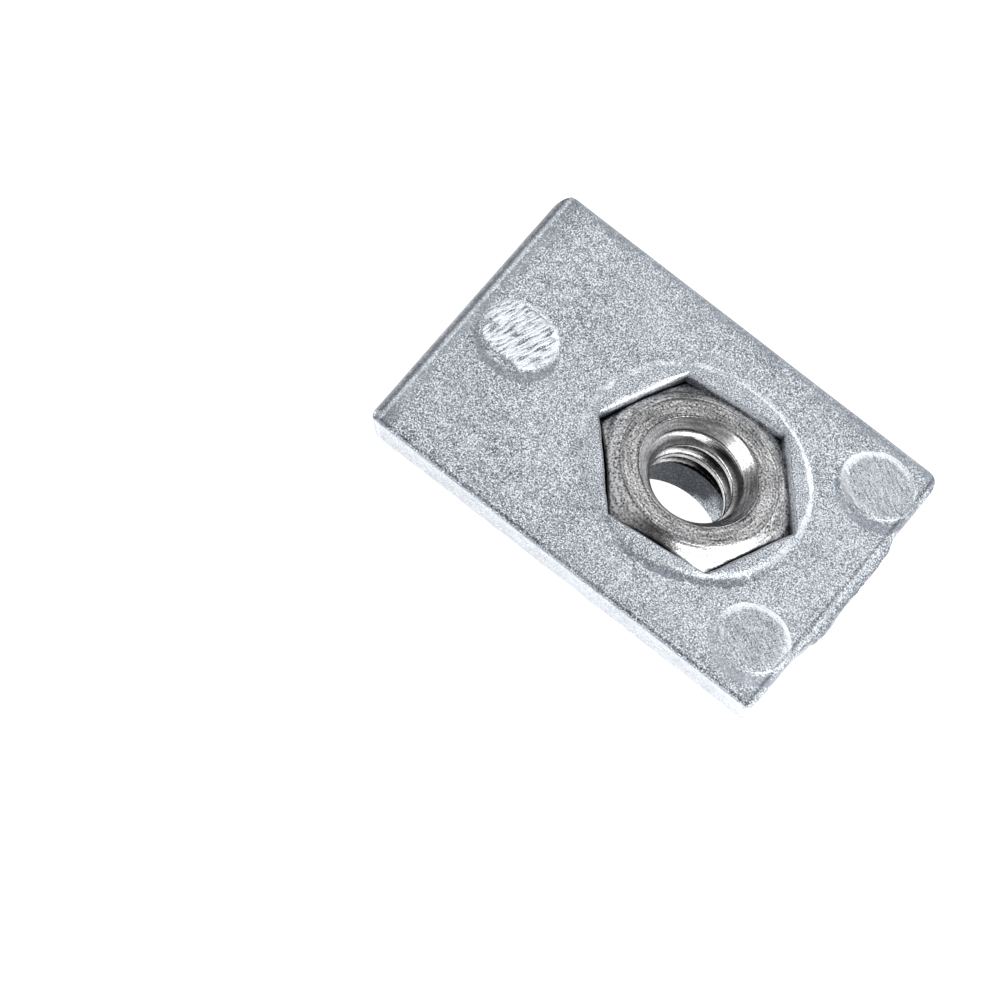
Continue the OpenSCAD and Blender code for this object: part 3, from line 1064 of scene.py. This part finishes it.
def place_camera():
    """The photograph's camera, turned and shifted so that the wide face lies where the photograph has it."""
    azimuth, elevation, roll = np.radians([CAMERA_AZIMUTH, CAMERA_ELEVATION, CAMERA_ROLL])
    back = Vector((
        np.sin(azimuth) * np.cos(elevation), -np.cos(azimuth) * np.cos(elevation), np.sin(elevation),
    ))
    level_right = Vector((np.cos(azimuth), np.sin(azimuth), 0))
    level_up = back.cross(level_right)
    right = level_right * np.cos(roll) + level_up * np.sin(roll)
    up = level_up * np.cos(roll) - level_right * np.sin(roll)
    place = Vector((0, 0, WIDE_FACE)) - right * FACE_RIGHT - up * FACE_UP + back * CAMERA_DISTANCE
    data = bpy.data.cameras.new("camera")
    data.lens = LENS
    data.sensor_width = SENSOR
    data.clip_start, data.clip_end = NEAREST * MM, FARTHEST * MM
    camera = bpy.data.objects.new("camera", data)
    bpy.context.scene.collection.objects.link(camera)
    camera.matrix_world = Matrix.Translation(place * MM) @ Matrix((right, up, back)).transposed().to_4x4()
    bpy.context.scene.camera = camera


def make_floor():
    """A pale floor that shows nearly white and keeps a soft shadow."""
    corners = np.array([(-1, -1, 0), (1, -1, 0), (1, 1, 0), (-1, 1, 0)]) * FLOOR_HALF
    floor = mesh_object("floor", corners, [(0, 1, 2, 3)])
    made = Finish("floor_white", 0.9)
    made.shader.inputs["Metallic"].default_value = 0
    made.shader.inputs["Base Color"].default_value = (FLOOR_SHADE, FLOOR_SHADE, FLOOR_SHADE, 1)
    rays = made.node("ShaderNodeLightPath").outputs
    mirrored = made.highest(rays["Is Glossy Ray"], rays["Is Transmission Ray"])
    shown = made.add(made.times(rays["Is Camera Ray"], FLOOR_GLOW), made.times(mirrored, FLOOR_MIRRORED))
    # Painted light: under the hole the floor glows fully, so no shadow shows through it
    in_hole = made.rise(made.radius(AXIS_X, 0), HOLE_RADIUS + 0.2, HOLE_RADIUS)
    glow = made.node("ShaderNodeEmission", (1, 1, 1, 1), made.highest(shown, in_hole))
    both = made.node("ShaderNodeAddShader", made.shader.outputs[0], glow.outputs[0])
    made.feed(made.tree.nodes["Material Output"].inputs[0], both.outputs[0])
    paint(floor, made.material)


def light_world():
    """A dim white room with soft bright and dark areas for the metal to mirror."""
    world = bpy.data.worlds.new("studio")
    world.use_nodes = True
    bpy.context.scene.world = world
    made = Nodes(world.node_tree)
    x, y, z = made.split(made.node("ShaderNodeTexCoord").outputs["Generated"])
    height = made.math("ARCSINE", z)
    strength = ROOM
    for azimuth, *angles, change in ROOM_AREAS:
        elevation, half_width, half_height, blur = np.radians(angles)
        along, across = made.toward(x, y, azimuth), made.toward(x, y, azimuth + 90)
        sideways = made.math("ABSOLUTE", made.math("ARCTAN2", across, along))
        upward = made.off(height, elevation)
        in_width = made.rise(sideways, half_width + blur, half_width - blur)
        in_height = made.rise(upward, half_height + blur, half_height - blur)
        strength = made.add(strength, made.times(in_width, in_height, change))
    room = world.node_tree.nodes["Background"]
    room.inputs["Color"].default_value = (1, 1, 1, 1)
    seen = made.node("ShaderNodeLightPath").outputs["Is Camera Ray"]
    made.feed(room.inputs["Strength"], made.highest(strength, seen))


def softbox(name, azimuth, elevation, width, height, radiance):
    """A rectangular lamp that faces the part, with its size in degrees as the part sees it."""
    data = bpy.data.lights.new(name, "AREA")
    data.shape = "RECTANGLE"
    distance = LAMP_DISTANCE * MM
    data.size = 2 * distance * np.tan(np.radians(width) / 2)
    data.size_y = 2 * distance * np.tan(np.radians(height) / 2)
    data.energy = radiance * np.pi * data.size * data.size_y
    lamp = bpy.data.objects.new(name, data)
    bpy.context.scene.collection.objects.link(lamp)
    azimuth, elevation = np.radians([azimuth, elevation])
    level = np.cos(elevation)
    away = Vector((np.cos(azimuth) * level, np.sin(azimuth) * level, np.sin(elevation)))
    lamp.location = away * distance + Vector((0, 0, WIDE_FACE * MM))
    lamp.rotation_mode = "QUATERNION"
    lamp.rotation_quaternion = away.to_track_quat("Z", "Y")
    lamp.visible_camera = False


def make_pieces():
    casting = casting_blank()
    cut(casting, pocket_cutter())
    cut(casting, hole_cutter())
    paint(casting, zinc())
    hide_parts("slider_body")
    nut = threaded_nut()
    paint(nut, stainless())
    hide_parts("hex_nut")
    for piece in (casting, nut):
        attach(piece, "root")


make_pieces()
place_camera()
make_floor()
light_world()
for name, numbers in SOFTBOXES.items():
    softbox(name, *numbers)
bpy.context.scene.view_settings.view_transform = "Standard"
